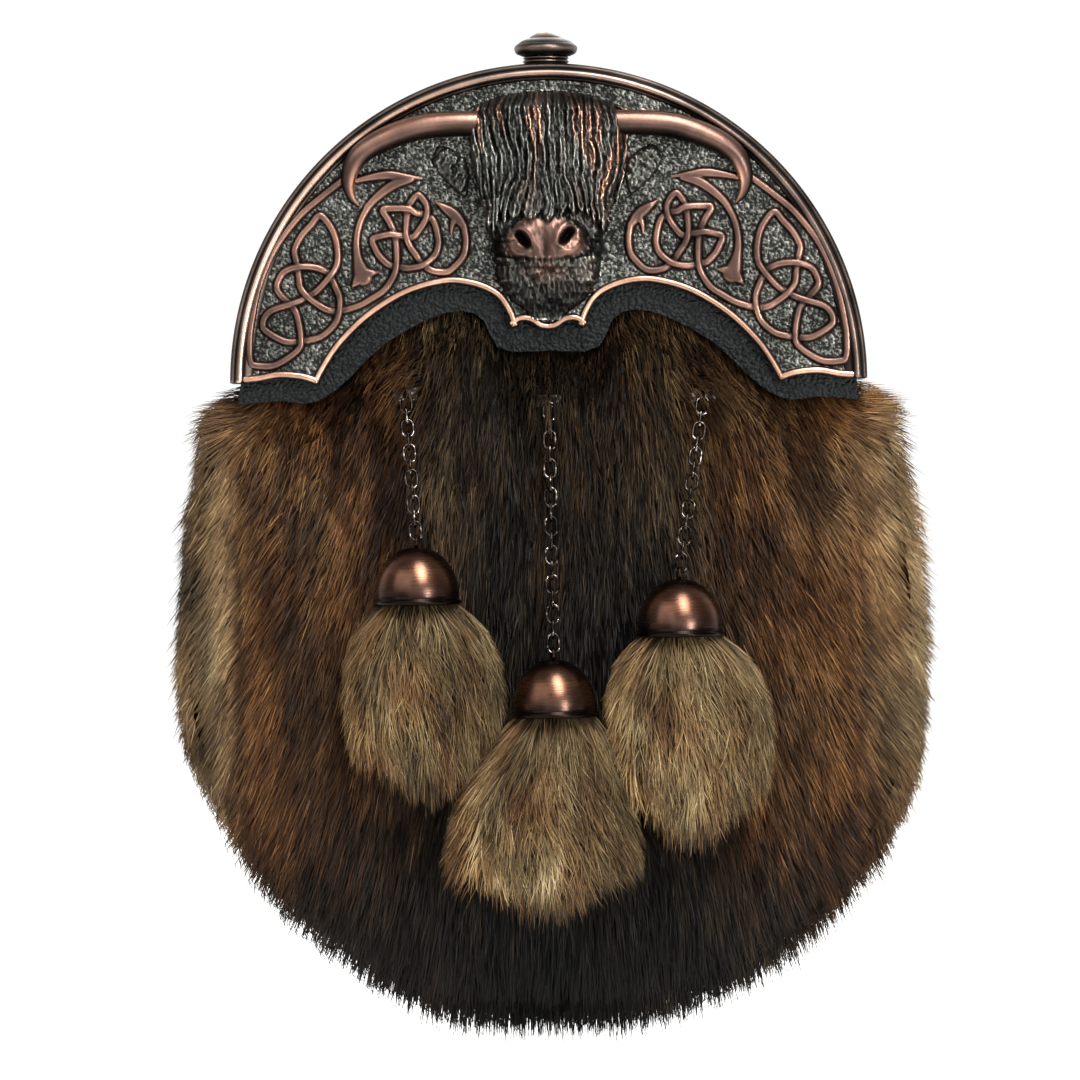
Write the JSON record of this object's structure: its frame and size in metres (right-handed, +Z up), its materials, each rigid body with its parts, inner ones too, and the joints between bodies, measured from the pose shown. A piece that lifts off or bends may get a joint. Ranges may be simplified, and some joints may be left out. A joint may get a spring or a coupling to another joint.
{
  "type": "full-dress sporran pouch",
  "caption": "Fur-fronted leather waist pouch with a half-round cast metal cantle, a push button on top and fur tassels hanging on chains.",
  "frame": {"origin": "midway between the two strap loops on the rear face of the back panel, where the waist strap or chain holds the pouch up", "axes": "+Z up as worn, the front faces -Y and the back panel +Y towards the wearer, +X to the right as seen from the front"},
  "size_m": [0.1906, 0.0745, 0.2498],
  "materials": {
    "antique_copper": "cast, copper plated, blackened in the recesses and rubbed bright on the high parts",
    "dark_copper": "turned, copper plated and darkened",
    "cap_copper": "spun dome, brushed round and darkened at the rim",
    "chain_metal": "blackened wire, bright where it is rubbed",
    "leather": "black, fine pebbled grain, semi-matt",
    "body_fur": "dark brown guard hair over a dense undercoat, paler at the sides",
    "tassel_fur": "tan and olive fur with brown streaks"
  },
  "bodies": {
    "pouch": {"back_panel": "leather", "gusset": "leather", "strap_loop_left": "leather", "strap_loop_right": "leather", "cantle_facing": "leather", "fur_front": "body_fur", "cantle": "antique_copper", "tassel_left": "tassel_fur", "cap_left": "cap_copper", "anchor_left": "chain_metal", "link_left_01": "chain_metal", "link_left_02": "chain_metal", "link_left_03": "chain_metal", "link_left_04": "chain_metal", "link_left_05": "chain_metal", "link_left_06": "chain_metal", "link_left_07": "chain_metal", "link_left_08": "chain_metal", "link_left_09": "chain_metal", "link_left_10": "chain_metal", "link_left_11": "chain_metal", "tassel_centre": "tassel_fur", "cap_centre": "cap_copper", "anchor_centre": "chain_metal", "link_centre_01": "chain_metal", "link_centre_02": "chain_metal", "link_centre_03": "chain_metal", "link_centre_04": "chain_metal", "link_centre_05": "chain_metal", "link_centre_06": "chain_metal", "link_centre_07": "chain_metal", "link_centre_08": "chain_metal", "link_centre_09": "chain_metal", "link_centre_10": "chain_metal", "link_centre_11": "chain_metal", "link_centre_12": "chain_metal", "link_centre_13": "chain_metal", "link_centre_14": "chain_metal", "link_centre_15": "chain_metal", "link_centre_16": "chain_metal", "link_centre_17": "chain_metal", "tassel_right": "tassel_fur", "cap_right": "cap_copper", "anchor_right": "chain_metal", "link_right_01": "chain_metal", "link_right_02": "chain_metal", "link_right_03": "chain_metal", "link_right_04": "chain_metal", "link_right_05": "chain_metal", "link_right_06": "chain_metal", "link_right_07": "chain_metal", "link_right_08": "chain_metal", "link_right_09": "chain_metal", "link_right_10": "chain_metal", "link_right_11": "chain_metal", "link_right_12": "chain_metal", "link_right_13": "chain_metal"},
    "button": {"button": "dark_copper"}
  },
  "joints": [
    {"name": "button_press", "type": "slide", "parent": "pouch", "child": "button", "axis": [0, 0, -1], "range_m": [0, 0.002], "stiffness_N_per_m": 300, "springref_m": -0.003}
  ]
}
